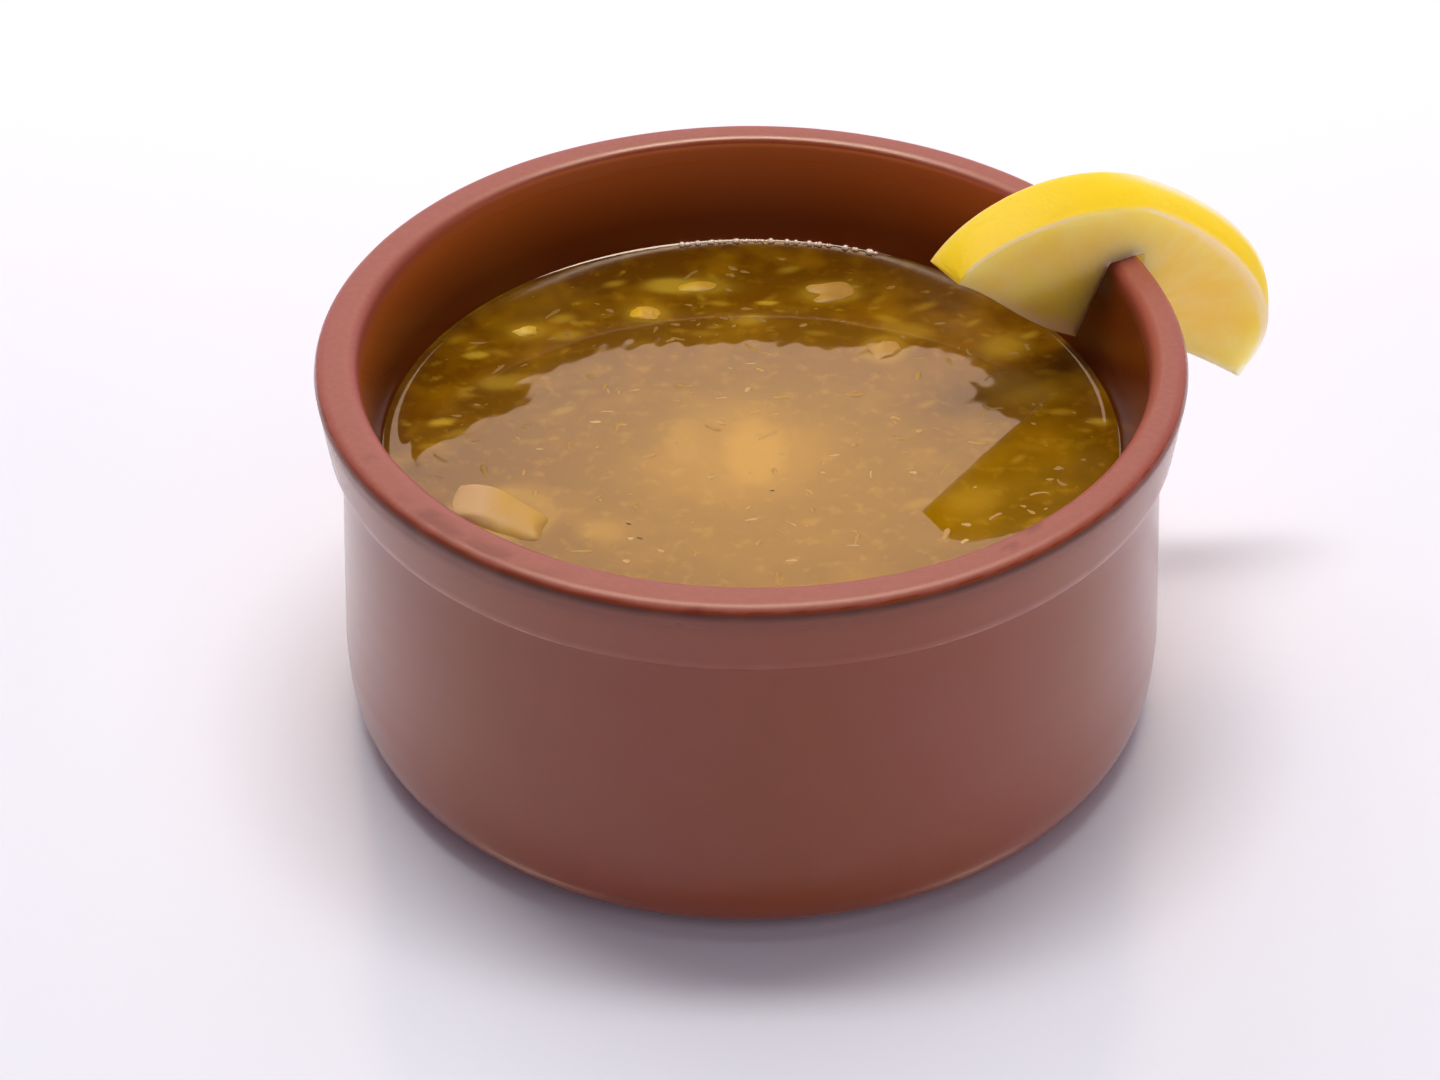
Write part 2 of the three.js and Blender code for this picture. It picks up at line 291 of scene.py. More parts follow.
# Throwing marks: the wall swells and thins a little round the bowl and in soft rings
swell_height = 0.18 * mm
ring_height = 0.012 * mm
ring_spacing = 6.5 * mm
swell = swell_height * np.sin(2 * bowl_angle + 0.6 + bowl_z / (25 * mm))
rings = ring_height * np.sin(2 * np.pi * bowl_z / ring_spacing + 1.5 * np.sin(bowl_angle))
upper = np.clip(bowl_z / (6 * mm), 0, 1)
stretch = 1 + upper * (swell + rings) / np.maximum(bowl_r, 30 * mm)
bowl_grid[:, :, 0] *= stretch
bowl_grid[:, :, 1] *= stretch
lip_share = np.clip((bowl_z - collar_bottom) / (bowl_height - collar_bottom), 0, 1)
bowl_grid[:, :, 2] += lip_share * 0.15 * mm * waves(bowl_grid[:, :, :2], 60 * mm, 3)

# The inner side of the top is set a little off the middle, as the lip is wider at the left front
row = np.arange(len(bowl_rows))[:, None] + 0 * bowl_angle
rim_top = np.argmin(np.abs(bowl_rows - [rim_radius - lip_width / 2, bowl_height]).sum(1))
is_outside = row < rim_top
is_inner = (row >= rim_top) & (bowl_z > broth_level - 2 * mm)
shifted = is_inner * np.clip((bowl_z - broth_level) / (15 * mm), 0, 1)
shifted *= np.clip((rim_radius - 1.5 * mm - bowl_r) / (4 * mm), 0, 1)
bowl_grid[:, :, :2] += shifted[..., None] * inner_shift
bowl = ring_piece("clay_bowl", bowl_grid, glazed_clay())


def bell(value, centre, width):
    """A soft bump: 1 where the value is at the centre, falling away over about the width."""
    return np.exp(-((value - centre) / width) ** 2)


# Where on the bowl each point lies
is_inside = (row > rim_top) & (bowl_z < bowl_height - 1.2 * mm)
on_collar = bowl_z > collar_bottom
below_top = bowl_height - bowl_z
bearing = np.degrees(bowl_angle)
at_side = np.abs(np.cos(bowl_angle))
at_back = np.clip(np.sin(bowl_angle), 0, 1)
at_right = smoothstep(np.cos(bowl_angle), 0.6, 0.95)
at_front = np.clip(-np.sin(bowl_angle + 0.03) * 1.7 - 0.2, 0, 1)
at_left_front = np.clip(1 - np.abs(bearing - 222) / 40, 0, 1)
spread = waves(bowl_grid, 5 * mm, 7)
fine_spread = waves(bowl_grid, 1.6 * mm, 8)

# The bare lip: from just inside the outer corner, with an uneven edge, to a little way down the
# inner side, further at the bowl's sides
bare_start = rim_radius - (0.3 + 0.12 * spread + 0.08 * fine_spread) * mm
outer_bare = np.clip((bare_start - bowl_r) / (0.25 * mm), 0, 1)
drop = (0.7 + 2.5 * at_side ** 3 - 0.4 * at_back + 0.15 * spread) * mm
inner_bare = np.clip((drop - below_top) / ((0.6 + 1.6 * at_side) * mm) + 0.5, 0, 1)
bare = np.where(is_outside, outer_bare * (below_top < 1.5 * mm), inner_bare)
bare = bare * (bowl_z > broth_level)

# Painted shade: a dark line under the lip's outer corner, with a fainter painted shadow below it
lip_shade_width = (0.5 + 0.5 * at_left_front) * mm
lip_shade_line = bell(below_top, 1.4 * mm + 0.4 * lip_shade_width, lip_shade_width)
lip_shadow_below = (0.25 + 0.35 * at_left_front) * bell(below_top, 3.2 * mm, 1.6 * mm)
lip_shade_line = np.maximum(lip_shade_line, lip_shadow_below) * is_outside * at_front * (0.85 + 0.15 * spread)
line_cover = np.clip(1.5 * lip_shade_line, 0, 1)

# The stains: the listed ones, a smear along the lip at the left front and a mark on the wall
stain = np.zeros(bare.shape)
for x, y, half_x, half_y, turn, dark in lip_stains:
    away = outside_of(bowl_grid, (x * mm, y * mm), (half_x * mm, half_y * mm), turn)
    blot = dark * (below_top < 2.5 * mm) * np.clip(0.7 - 1.3 * away + 0.5 * fine_spread, 0, 1)
    stain = np.maximum(stain, blot)
smear = smoothstep(1 - np.abs(bearing - 231) / 18, 0, 0.5)
outer_half = bell(bowl_r, 69.6 * mm, 1.3 * mm) * (below_top < 1 * mm)
inner_edge = bell(bowl_r, 66.2 * mm, 0.5 * mm) * (below_top < 2 * mm)
wall_mark = bell(bearing, 188, 0.9) * bell(bowl_z, 42.5 * mm, 2 * mm) * is_outside
stain = np.maximum(stain, smear * outer_half * np.clip(0.3 + 0.8 * spread, 0, 0.8))
stain = np.maximum(stain, np.maximum(0.45 * smear * inner_edge, wall_mark))

# Pale lines: a painted highlight along the collar's step, strongest at the sides, and a short
# line of thin glaze under the lip at the left front
collar_highlight = bell(bowl_z, collar_bottom + 0.7 * mm, 0.7 * mm) * (0.8 + 0.25 * spread)
collar_highlight = collar_highlight * is_outside * (0.08 + 0.9 * smooth_side(bowl_angle))
rim_line = 0.5 * bell(below_top, 2.3 * mm, 0.25 * mm) * is_outside
rim_line = rim_line * np.clip(1 - np.abs(bearing - 234) / 14, 0, 1)

# Painted shade: the inside is darker toward the broth and at the right. It is also dull just
# under the lip at the back
wet = is_inside * np.maximum(np.clip((below_top - 2.5 * mm) / (12 * mm), 0, 1), 0.9 * at_right)
under_lip = is_inside * np.clip((4 * mm - below_top) / (1.5 * mm), 0, 1)
dull = np.maximum(np.maximum(bare, 0.15 * is_inside), under_lip * smoothstep(at_back, 0.3, 0.6))
skin = (1 - 0.5 * on_collar) * (0.08 + 0.5 * at_side ** 2) * is_outside
bowl_paints = {
    "dull": np.maximum(dull, line_cover), "skin": skin * (1 - bare) * (1 - line_cover),
    "bare": bare, "inside": is_inside + 0.0 * row, "edge": lip_shade_line * 0.95,
    "wet": wet, "stain": stain, "thin": np.maximum(collar_highlight, rim_line),
}
for name, values in bowl_paints.items():
    paint(bowl, name, values.ravel())
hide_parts("bowl")


# The broth. Long-boiled stock, cloudy gold with gelatine, so its face is as flat and shiny as
# oil. It wets the wall and climbs it a little, and small bubbles stand along its back edge.
meniscus_height = 0.8 * mm
meniscus_width = 5 * mm
meniscus_length = 1.1 * mm
broth_sides = 480
# The broth's colours run from the lit front to painted shade by the back wall
broth_front = "#9A6D00"
broth_half_shaded = "#6C4400"
broth_shaded = "#5C3400"
broth_cloud = "#AC7A08"
broth_fleck = "#C89428"
sunk_gold = "#C49020"
sunk_olive = "#BC9C2A"
float_pieces = [
    "cartilage_large", "cartilage_slab", "cartilage_long", "cartilage_round", "cartilage_yellow",
    "cartilage_oval",
]
# Soft shapes just under the surface: x, y, half length, half width, turn, how clear, how blurred
sunk_shapes = [
    (0.7, -5.0, 6.0, 10.0, 0, 1.00, 0.5),
    (-1.8, -5.0, 13.0, 13.5, 0, 0.45, 0.50),
    (-11.0, -2.0, 3.5, 7.5, 0, 0.55, 0.5),
    (0.5, -12.0, 6.0, 6.0, 0, 0.40, 0.8),
    (-13.5, 47.2, 5.5, 2.6, 0, 0.75, 0.4),
    (-24.0, -26.5, 3.4, 2.4, -10, 0.50, 0.9),
    (-43.0, 16.5, 3.8, 2.2, 5, 0.50, 0.6),
    (-52.5, 4.5, 2.0, 1.0, 10, 0.90, 0.5),
    (-48.0, 25.0, 2.2, 1.0, 5, 0.80, 0.5),
    (-33.5, 36.5, 2.2, 1.2, 20, 0.50, 0.7),
    (-32.5, 31.0, 2.6, 1.4, 10, 0.50, 0.7),
    (-24.5, 48.0, 1.8, 0.9, 20, 0.45, 0.6),
    (3.0, 41.5, 1.8, 0.7, 0, 0.90, 0.5),
    (7.0, 52.5, 1.8, 1.0, 20, 0.40, 0.7),
    (0.0, 36.0, 2.8, 1.6, 15, 0.55, 0.7),
    (28.0, 32.5, 4.5, 2.4, -15, 0.40, 0.6),
    (44.5, 27.0, 4.0, 3.4, 30, 0.50, 0.7),
    (46.5, 14.0, 6.0, 4.0, 20, 0.60, 0.9),
    (49.0, 30.5, 1.8, 1.0, 30, 0.50, 0.6),
    (51.0, 19.0, 2.4, 1.0, 0, 0.50, 0.6),
    (36.5, -18.0, 4.5, 3.0, 35, 0.55, 0.9),
    (59.0, 4.0, 1.7, 0.9, -10, 0.60, 0.6),
]
sunk_bits = 110
bubble_count = 32


def broth_profile():
    """The broth from the floor's middle up the wall, over the climb and in to the middle. The
    climb falls away from the wall as an exponential, as surface tension shapes it."""
    away = meniscus_width * np.linspace(0, 1, 26) ** 1.6
    rest = np.exp(-meniscus_width / meniscus_length)
    z = broth_level + meniscus_height * (np.exp(-away / meniscus_length) - rest) / (1 - rest)
    edge = np.stack([wall_radius + wall_lean * (z - broth_level) + 0.15 * mm - away, z], 1)
    corner = arc(wall_radius - inner_corner, floor_thickness + inner_corner,
                 inner_corner - 0.1 * mm, -90, 0, 10)
    under = np.vstack([[[0.001 * mm, floor_thickness + 0.1 * mm]], corner,
                       [[wall_radius - 0.1 * mm, broth_level - 1 * mm]]])
    surface = np.vstack([edge, [[0.05 * mm, broth_level]]])
    return np.vstack([spaced(under, 4 * mm), spaced(surface, 0.42 * mm)])


def soup_broth():
    """Cloudy stock. To the eye: a mirror-flat gold surface, browner by the wall as painted shade,
    with soft lighter clouds and the blurred shapes of what is sunk in it."""
    material, tree, shader = new_material("cloudy_stock")
    place = add(tree, "ShaderNodeTexCoord").outputs["Object"]
    sunk = add(tree, "ShaderNodeAttribute", attribute_name="sunk").outputs["Fac"]
    # depth holds painted shade: 0 in the lit clearing, 1 by the back wall
    depth = add(tree, "ShaderNodeAttribute", attribute_name="depth").outputs["Fac"]
    body = add(tree, "ShaderNodeValToRGB", [("Fac", depth)])
    body.color_ramp.elements[0].color = linear(broth_front)
    body.color_ramp.elements[1].color = linear(broth_shaded)
    body.color_ramp.elements.new(0.68).color = linear(broth_half_shaded)
    cloud = add(tree, "ShaderNodeTexNoise", [("Vector", place)], Scale=1 / 0.009, Detail=2.0)
    cloudy = add(tree, "ShaderNodeMapRange", [("Value", cloud.outputs["Fac"])],
                 From_Min=0.45, From_Max=0.8, To_Max=0.5)
    fleck = add(tree, "ShaderNodeTexNoise", [("Vector", place)], Scale=1 / 0.0028, Detail=3.0)
    flecked = add(tree, "ShaderNodeMapRange", [("Value", fleck.outputs["Fac"])],
                  From_Min=0.55, From_Max=0.75)
    fewer = add(tree, "ShaderNodeMapRange", [("Value", depth)], To_Min=0.45, To_Max=0.05)
    fleck_fac = add(tree, "ShaderNodeMath", [(0, flecked.outputs[0]), (1, fewer.outputs[0])],
                    operation="MULTIPLY")
    soft = layered(tree, sunk_gold, [(depth, sunk_olive)])
    face = layered(tree, body.outputs[0], [(cloudy.outputs[0], broth_cloud),
                                           (fleck_fac.outputs[0], broth_fleck), (sunk, soft)])
    tree.links.new(face, shader.inputs["Base Color"])
    shader.inputs["Roughness"].default_value = 0.02
    shader.inputs["IOR"].default_value = 1.4
    shader.inputs["Subsurface Weight"].default_value = 0.3
    shader.inputs["Subsurface Radius"].default_value = (1.0, 0.5, 0.12)
    shader.inputs["Subsurface Scale"].default_value = 4 * mm
    return material


def ripple(place):
    """Height of the broth's face over its level: three sizes of wave, none at the wall."""
    reach = np.hypot(place[..., 0], place[..., 1])
    calm = np.clip((wall_radius - reach) / (4 * mm), 0, 1)
    return calm * (
        0.002 * mm * waves(place, 4 * mm, 10) + 0.005 * mm * waves(place, 12 * mm, 11)
        + 0.03 * mm * waves(place, 32 * mm, 12)
    )


def shade_from_clearing(place):
    """Painted shade: 0 in the lit clearing, right of the middle at the front, 1 by the back wall.
    """
    away = np.hypot(place[..., 0] - 4 * mm, place[..., 1] + 16 * mm)
    return np.clip((away - 16 * mm) / (62 * mm), 0, 1)


broth_rows = broth_profile()
broth_grid = turned(broth_rows, broth_sides)
flat = broth_grid[:, :, :2]
top = (broth_rows[:, 1] >= broth_level - 0.001 * mm)[:, None]
sunk = np.zeros(flat.shape[:2])
for name in float_pieces:
    low, high = np.array(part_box(name))
    half = (high - low)[:2] / 2
    away = outside_of(flat, (low + high) / 2, half, 0) * half.min()
    sunk = np.maximum(sunk, 0.4 * np.exp(-np.maximum(away, 0) / (0.9 * mm)))
for x, y, half_x, half_y, turn, clear, blur in sunk_shapes:
    away = outside_of(flat, (x * mm, y * mm), (half_x * mm, half_y * mm), turn)
    away = (away + 0.08 * waves(flat, half_x * mm, 15)) / blur
    sunk = np.maximum(sunk, clear * (0.5 - 0.5 * np.tanh(1.6 * away)))
bit_draw = np.random.default_rng(31)
bit_reach = wall_radius * np.sqrt(bit_draw.uniform(0.25, 0.93, sunk_bits))
bit_angle = np.radians(bit_draw.uniform(-35, 185, sunk_bits))
bit_half = bit_draw.gamma(4, 0.3, sunk_bits).clip(0.6, 2.6) * mm
for reach, angle, half in zip(bit_reach, bit_angle, bit_half):
    place = (reach * np.cos(angle), reach * np.sin(angle))
    away = outside_of(flat, place, (half, 0.4 * half), bit_draw.normal(0, 30))
    sunk = np.maximum(sunk, bit_draw.uniform(0.1, 0.5) * (0.5 - 0.5 * np.tanh(2.5 * away)))
broth_grid[:, :, 2] += top * ripple(flat)
broth_stock = soup_broth()
broth = ring_piece("broth_pool", broth_grid, broth_stock)
paint(broth, "sunk", sunk.ravel())
# The broth's painted shade, stored under the name depth
paint(broth, "depth", shade_from_clearing(flat).ravel())
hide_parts("broth")


def unit_ball(rings, sides, first_angle):
    """A ball of radius 1 in rings of points, the first and last at one small angle off a pole."""
    polar = np.linspace(first_angle, np.pi - first_angle, rings)[:, None]
    around = np.linspace(0, 2 * np.pi, sides, endpoint=False)[None, :]
    return np.stack([np.sin(polar) * np.cos(around), np.sin(polar) * np.sin(around),
                     -np.cos(polar) + 0 * around], 2)


def many_faces(count, rings, sides):
    """Faces of many alike ring pieces in one mesh, each closed at its ends by one face."""
    size = rings * sides
    start = size * np.arange(count)
    faces = (ring_faces(rings, sides)[None] + start[:, None, None]).reshape(-1, 4).tolist()
    for first in start:
        faces.append(list(range(first, first + sides))[::-1])
        faces.append(list(range(first + size - sides, first + size)))
    return faces


def bead_row(centres, radii, rings=8, sides=10):
    """Balls of given places and radii, all in one list of places and faces."""
    ball = unit_ball(rings, sides, 0.05).reshape(-1, 3)
    points = centres[:, None, :] + radii[:, None, None] * ball
    return points.reshape(-1, 3), many_faces(len(centres), rings, sides)


bubble_draw = np.random.default_rng(4)
bubble_bearing = np.linspace(102, 68, bubble_count)
bubble_angle = np.radians(bubble_bearing + bubble_draw.normal(0, 0.4, bubble_count))
bubble_radii = bubble_draw.uniform(0.25, 0.62, bubble_count) * mm
bubble_reach = wall_radius - 0.35 * mm
bubble_places = np.stack([bubble_reach * np.cos(bubble_angle), bubble_reach * np.sin(bubble_angle),
                          np.full(bubble_count, broth_level + 0.55 * mm)], 1)
bubble_stuff, _, bubble_shader = new_material("thin_froth")
bubble_shader.inputs["Base Color"].default_value = linear("#FFE8D0")
bubble_shader.inputs["Roughness"].default_value = 0.12
bubble_points, bubble_faces = bead_row(bubble_places, bubble_radii)
bubbles = new_piece("edge_bubbles", bubble_points, bubble_faces, bubble_stuff)


# The pieces of cow foot. Boiled cartilage and tendon, cut by knife and softened to lumps with
# rounded corners, half clear and wet, each just breaking the surface of the broth.


def boiled_cartilage(name, colour, deep_colour):
    """Boiled cartilage. To the eye: waxy and half clear, paler where it is thick, with a wet
    shine and faint strands along it."""
    material, tree, shader = new_material(name)
    place = add(tree, "ShaderNodeTexCoord").outputs["Object"]
    cloud = add(tree, "ShaderNodeTexNoise", [("Vector", place)], Scale=1 / 0.003, Detail=4.0)
    pale = add(tree, "ShaderNodeAttribute", attribute_name="pale").outputs["Fac"]
    mixed = add(tree, "ShaderNodeMath", [(0, cloud.outputs["Fac"]), (1, pale)])
    fields = add(tree, "ShaderNodeMapRange", [("Value", mixed.outputs[0])], From_Min=0.5,
                 From_Max=1.1)
    body = layered(tree, deep_colour, [(fields.outputs[0], colour)])
    tree.links.new(body, shader.inputs["Base Color"])
    bump = add(tree, "ShaderNodeBump", [("Height", cloud.outputs["Fac"])], Distance=0.2 * mm,
               Strength=0.5)
    tree.links.new(bump.outputs[0], shader.inputs["Normal"])
    shader.inputs["Roughness"].default_value = 0.5
    shader.inputs["IOR"].default_value = 1.34
    shader.inputs["Subsurface Weight"].default_value = 0.4
    shader.inputs["Subsurface Radius"].default_value = (1.0, 0.6, 0.3)
    shader.inputs["Subsurface Scale"].default_value = 2 * mm
    return material


def cut_lump(centre, half, turn, square, seed, rings=40, sides=64):
    """A lump: an ellipsoid whose sines and cosines are raised to a power below one, so that its
    sides flatten, with relief of two sizes, turned about +Z."""
    ball = unit_ball(rings, sides, 0.02)
    shape = np.sign(ball) * np.abs(ball) ** square * half
    ragged = 0.10 if half[0] > 6 * mm else 0.17
    relief = ragged * waves(shape, 1.1 * half[0], seed)
    relief -= 0.10 * np.abs(waves(shape, 0.9 * half[0], seed + 1))
    shape *= (1 + relief)[..., None]
    c, s = np.cos(np.radians(turn)), np.sin(np.radians(turn))
    x, y = shape[..., 0], shape[..., 1]
    return np.stack([c * x - s * y, s * x + c * y, shape[..., 2]], 2) + centre


# Half sizes in millimetres, turn in degrees, the power that flattens the sides, and two colours
lump_looks = {
    "cartilage_large": ((10.8, 5.3, 4.0), -34, 0.75, "#CEA674", "#C69A44"),
    "cartilage_slab": ((4.5, 2.8, 1.7), 6, 0.5, "#BC8E34", "#A87A20"),
    "cartilage_long": ((4.7, 1.9, 1.5), 8, 0.8, "#CCA01C", "#B88A10"),
    "cartilage_round": ((3.6, 3.8, 2.0), 20, 0.8, "#C89C54", "#B88A40"),
    "cartilage_yellow": ((3.5, 2.3, 1.6), -12, 0.9, "#D8A810", "#C09008"),
    "cartilage_oval": ((2.9, 2.0, 1.4), 12, 0.9, "#E4BC4C", "#D0A62C"),
}
for seed, (name, (half, turn, square, colour, deep_colour)) in enumerate(lump_looks.items()):
    low, high = np.array(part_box(name))
    lump = cut_lump((low + high) / 2, np.array(half) * mm, turn, square, 30 + seed)
    piece = ring_piece(name.replace("cartilage", "boiled"), lump,
                       boiled_cartilage("boiled_" + name, colour, deep_colour))
    along_it = (lump[..., 0] - lump[..., 0].min()) / np.ptp(lump[..., 0])
    paint(piece, "pale", (1 - smoothstep(along_it, 0.2, 0.6)).ravel())
    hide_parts(name)


# The shreds. Threads of meat and skin boiled off the foot, a few millimetres long and thinner
# than a millimetre, afloat in the surface and wet by it, with a few dark specks of pepper.
shred_count = 58
shred_reach = 56 * mm
shred_height = 0.07 * mm
shred_rings = 7
shred_sides = 6
golden_angle = np.pi * (3 - np.sqrt(5))
shaded_straw = "#846014"
fine_count = 130
# The shreds that catch the eye: x, y, length, width, turn
bright_shreds = [
    (-35.5, 14.0, 2.0, 0.5, 0), (-24.5, 7.5, 2.4, 0.5, 0), (-20.0, 14.0, 2.2, 0.8, 15),
    (-26.5, 4.5, 2.4, 0.8, 0), (-46.5, -1.0, 2.2, 0.5, 0), (-35.5, -3.5, 1.6, 0.7, -5),
    (-0.5, 14.0, 1.8, 1.4, 60), (-5.0, 11.5, 2.2, 0.5, 10), (0.0, 22.0, 2.4, 0.4, 0),
    (-6.5, -11.5, 2.0, 0.8, 25), (29.5, 23.5, 3.8, 0.5, -2), (42.0, 8.0, 2.8, 0.7, 10),
    (40.5, 3.5, 1.8, 0.8, 0), (28.5, 1.5, 1.4, 0.9, 30), (14.0, -5.5, 2.4, 0.6, 10),
    (12.0, -10.5, 0.9, 0.9, 0), (27.0, -10.5, 1.5, 0.9, -10), (20.0, -11.0, 2.4, 0.4, 88),
    (0.0, -23.5, 2.4, 0.6, 15), (6.5, -24.5, 3.0, 0.5, -40), (6.5, -34.5, 2.2, 0.7, 0),
    (-19.5, -28.5, 1.2, 1.0, -30), (-20.0, -34.5, 1.5, 1.2, -20), (16.5, -30.5, 2.6, 0.6, 0),
    (51.0, -9.5, 1.7, 0.8, 5), (49.5, -12.5, 1.6, 0.7, 0), (47.5, -16.5, 3.8, 0.7, 12),
    (35.0, -25.0, 1.9, 1.1, -10), (34.5, -29.5, 1.8, 1.1, 40), (55.5, -7.0, 1.1, 0.8, 0),
]
pepper_specks = [
    (3.5, -15.5, 0.9, 0.5, 10), (-18.0, -28.5, 1.1, 0.7, -20), (-20.0, -24.5, 1.2, 0.5, -30),
]


def chance(index, salt):
    """A number from 0 to 1 that is fixed for each whole number and salt."""
    value = np.sin(index * 12.9898 + salt * 78.233) * 43758.5453
    return value - np.floor(value)


def spiral_places():
    """Places on a golden spiral, unevenly shaken, as in the solid broth, with their lengths."""
    i = np.arange(shred_count)
    radius = shred_reach * np.sqrt((i + 0.5) / shred_count)
    angle = i * golden_angle + 0.5 * chance(i, 1)
    reach = np.minimum(radius + 5 * mm * (chance(i, 2) - 0.5), shred_reach)
    length = (4.6 + (1.8 - 4.6) * ((i * 23) % shred_count) / (shred_count - 1)) * mm
    width = 1.1 * mm * (0.7 + 0.5 * chance(i, 3))
    place = np.stack([reach * np.cos(angle), reach * np.sin(angle)], 1)
    return place, length, width, np.pi * chance(i, 4)


def fine_places(count):
    """Places spread at random over the surface for the finer shreds, with their lengths."""
    rng = np.random.default_rng(21)
    radius = 60 * mm * np.sqrt(rng.uniform(0, 1, count))
    angle = rng.uniform(0, 2 * np.pi, count)
    place = np.stack([radius * np.cos(angle), radius * np.sin(angle)], 1)
    length = rng.gamma(4, 0.3, count).clip(0.6, 2.8) * mm
    return place, length, length * rng.uniform(0.25, 0.55, count), rng.normal(0, 0.7, count)


def listed_places(shreds):
    """Places, lengths, widths and turns from a list in millimetres and degrees."""
    x, y, length, width, turn = np.array(shreds, dtype=float).T
    return np.stack([x, y], 1) * mm, length * mm, width * mm, np.radians(turn)


def shred_mesh(place, length, width, turn, seed):
    """Thin spindles, each bent in an arc and pointed at both ends, lying in the surface."""
    rng = np.random.default_rng(seed)
    n = len(place)
    along = np.linspace(-1, 1, shred_rings)[None, :, None]
    around = np.linspace(0, 2 * np.pi, shred_sides, endpoint=False)[None, None, :]
    half_length = length.reshape(n, 1, 1) / 2
    half_width = width.reshape(n, 1, 1) / 2
    bend = rng.normal(0, 0.15, n).reshape(n, 1, 1)
    thick = np.sqrt(np.maximum(1 - along ** 2, 0.02)) * (1 + 0.3 * np.sin(3 * along + bend * 9))
    x = half_length * along + 0 * around
    y = half_width * thick * np.cos(around) + bend * half_length * (along ** 2 - 0.5)
    z = shred_height * (thick * np.sin(around) - 0.35)
    afloat = broth_level + ripple(place).reshape(n, 1, 1)
    c, s = np.cos(turn).reshape(n, 1, 1), np.sin(turn).reshape(n, 1, 1)
    points = np.stack([c * x - s * y + place[:, 0].reshape(n, 1, 1),
                       s * x + c * y + place[:, 1].reshape(n, 1, 1),
                       z + afloat], 3)
    return points.reshape(-1, 3), many_faces(n, shred_rings, shred_sides)


def boiled_meat(name, colour, pale_colour):
    """Threads of boiled meat. To the eye: wet straw, each a little lighter or darker, and
    browner toward the back wall, a painted shade like the broth's."""
    material, tree, shader = new_material(name)
    place = add(tree, "ShaderNodeTexCoord").outputs["Object"]
    cloud = add(tree, "ShaderNodeTexNoise", [("Vector", place)], Scale=1 / 0.006, Detail=1.0)
    spread = add(tree, "ShaderNodeMapRange", [("Value", cloud.outputs["Fac"])],
                 From_Min=0.35, From_Max=0.65)
    # Painted shade from the broth, stored as depth, browns the threads toward the back wall
    depth = add(tree, "ShaderNodeAttribute", attribute_name="depth").outputs["Fac"]
    shaded = add(tree, "ShaderNodeMapRange", [("Value", depth)], From_Min=0.35, From_Max=0.6,
                 To_Max=0.88)
    body = layered(tree, colour, [(spread.outputs[0], pale_colour),
                                  (shaded.outputs[0], shaded_straw)])
    tree.links.new(body, shader.inputs["Base Color"])
    shader.inputs["Roughness"].default_value = 0.5
    shader.inputs["IOR"].default_value = 1.34
    return material


shred_sets = [
    ("meat_shreds", spiral_places(), "sunk_threads", "#B6863A", "#C49850"),
    ("fine_shreds", fine_places(fine_count), "wet_threads", "#C89848", "#D4A860"),
    ("bright_shreds", listed_places(bright_shreds), "pale_threads", "#C69A50", "#D6B070"),
    ("pepper_specks", listed_places(pepper_specks), "black_pepper", "#4A3008", "#5E4412"),
]
for name, places, stuff, colour, pale_colour in shred_sets:
    points, faces = shred_mesh(*places, 5)
    piece = new_piece(name, points, faces, boiled_meat(stuff, colour, pale_colour))
    # The broth's painted shade, stored under the name depth
    paint(piece, "depth", shade_from_clearing(points))


# The lemon. Half a round slice, cut across the fruit, with a slit from its straight edge that
# holds the wall. Waxed yellow rind outside, white pith, clear segments of juice sacs inside.
slice_tip = np.array([34.4, 6.5, 76.4]) * mm
slice_slope = 0.6
slice_droop = np.radians(35)
slice_length = 64.6 * mm
slice_thickness = 8.3 * mm
slice_crest = 28 * mm
crest_height = (21.4 * mm, 23.9 * mm)
inner_fullness = (1.55, 1.85)
outer_fullness = 2.6
end_height = 1.2 * mm
flesh_sag = 3.2 * mm
wing_bend_start = 66 * mm
wing_bend = 0.01 / mm
slit_outline = np.array([
    [29.3, -6], [29.3, -3.2], [27.6, 6], [26, 10.6], [31, 13.9], [45.5, -6],
]) * mm
fruit_centre = np.array([31.5, -1.5]) * mm
wall_gap = 0.3 * mm
column_lean = 0.243

rind_yellow = "#FFD22C"
rind_deep = "#FFC81E"
pith_white = "#FFCA98"
flesh_gold = "#FFC662"
flesh_pale = "#FFCE80"
# The paler gold of the painted glow near the slit
flesh_glow = "#FFE070"


def slice_place(along, above, depth):
    """A point of the slice from its place along and above the straight edge and its depth
    behind the front face. The faces stand on a line that bends back beyond the wall."""
    x = slice_tip[0] + along * np.cos(slice_droop) + above * np.sin(slice_droop)
    z = slice_tip[2] - along * np.sin(slice_droop) + above * np.cos(slice_droop)
    beyond = np.maximum(x - wing_bend_start, 0)
    y = slice_tip[1] + slice_slope * (x - slice_tip[0]) - wing_bend * beyond ** 2
    heading = np.arctan(slice_slope - 2 * wing_bend * beyond)
    return np.stack([x - depth * np.sin(heading), y + depth * np.cos(heading), z], -1)


def rind_height(along, back):
    """Height of the rind over the straight edge: superellipse quarters either side of the crest,
    leaner on the front face, where back is 0, than on the back one, where it is 1."""
    height = crest_height[0] + (crest_height[1] - crest_height[0]) * back - end_height
    inner = inner_fullness[0] + (inner_fullness[1] - inner_fullness[0]) * back
    power = np.where(along < slice_crest, inner, outer_fullness)
    span = np.where(along < slice_crest, slice_crest, slice_length - slice_crest)
    share = np.clip(np.abs(along - slice_crest) / span, 0, 1)
    return end_height + height * (1 - share ** power) ** (1 / power)


def straight_edge(along, back):
    """The cut edge, which sags on the front face, on the inner side of the slit."""
    share = smoothstep(along, 0, 24 * mm) * (1 - smoothstep(along, 34 * mm, 50 * mm))
    return -flesh_sag * share * (1 - back)


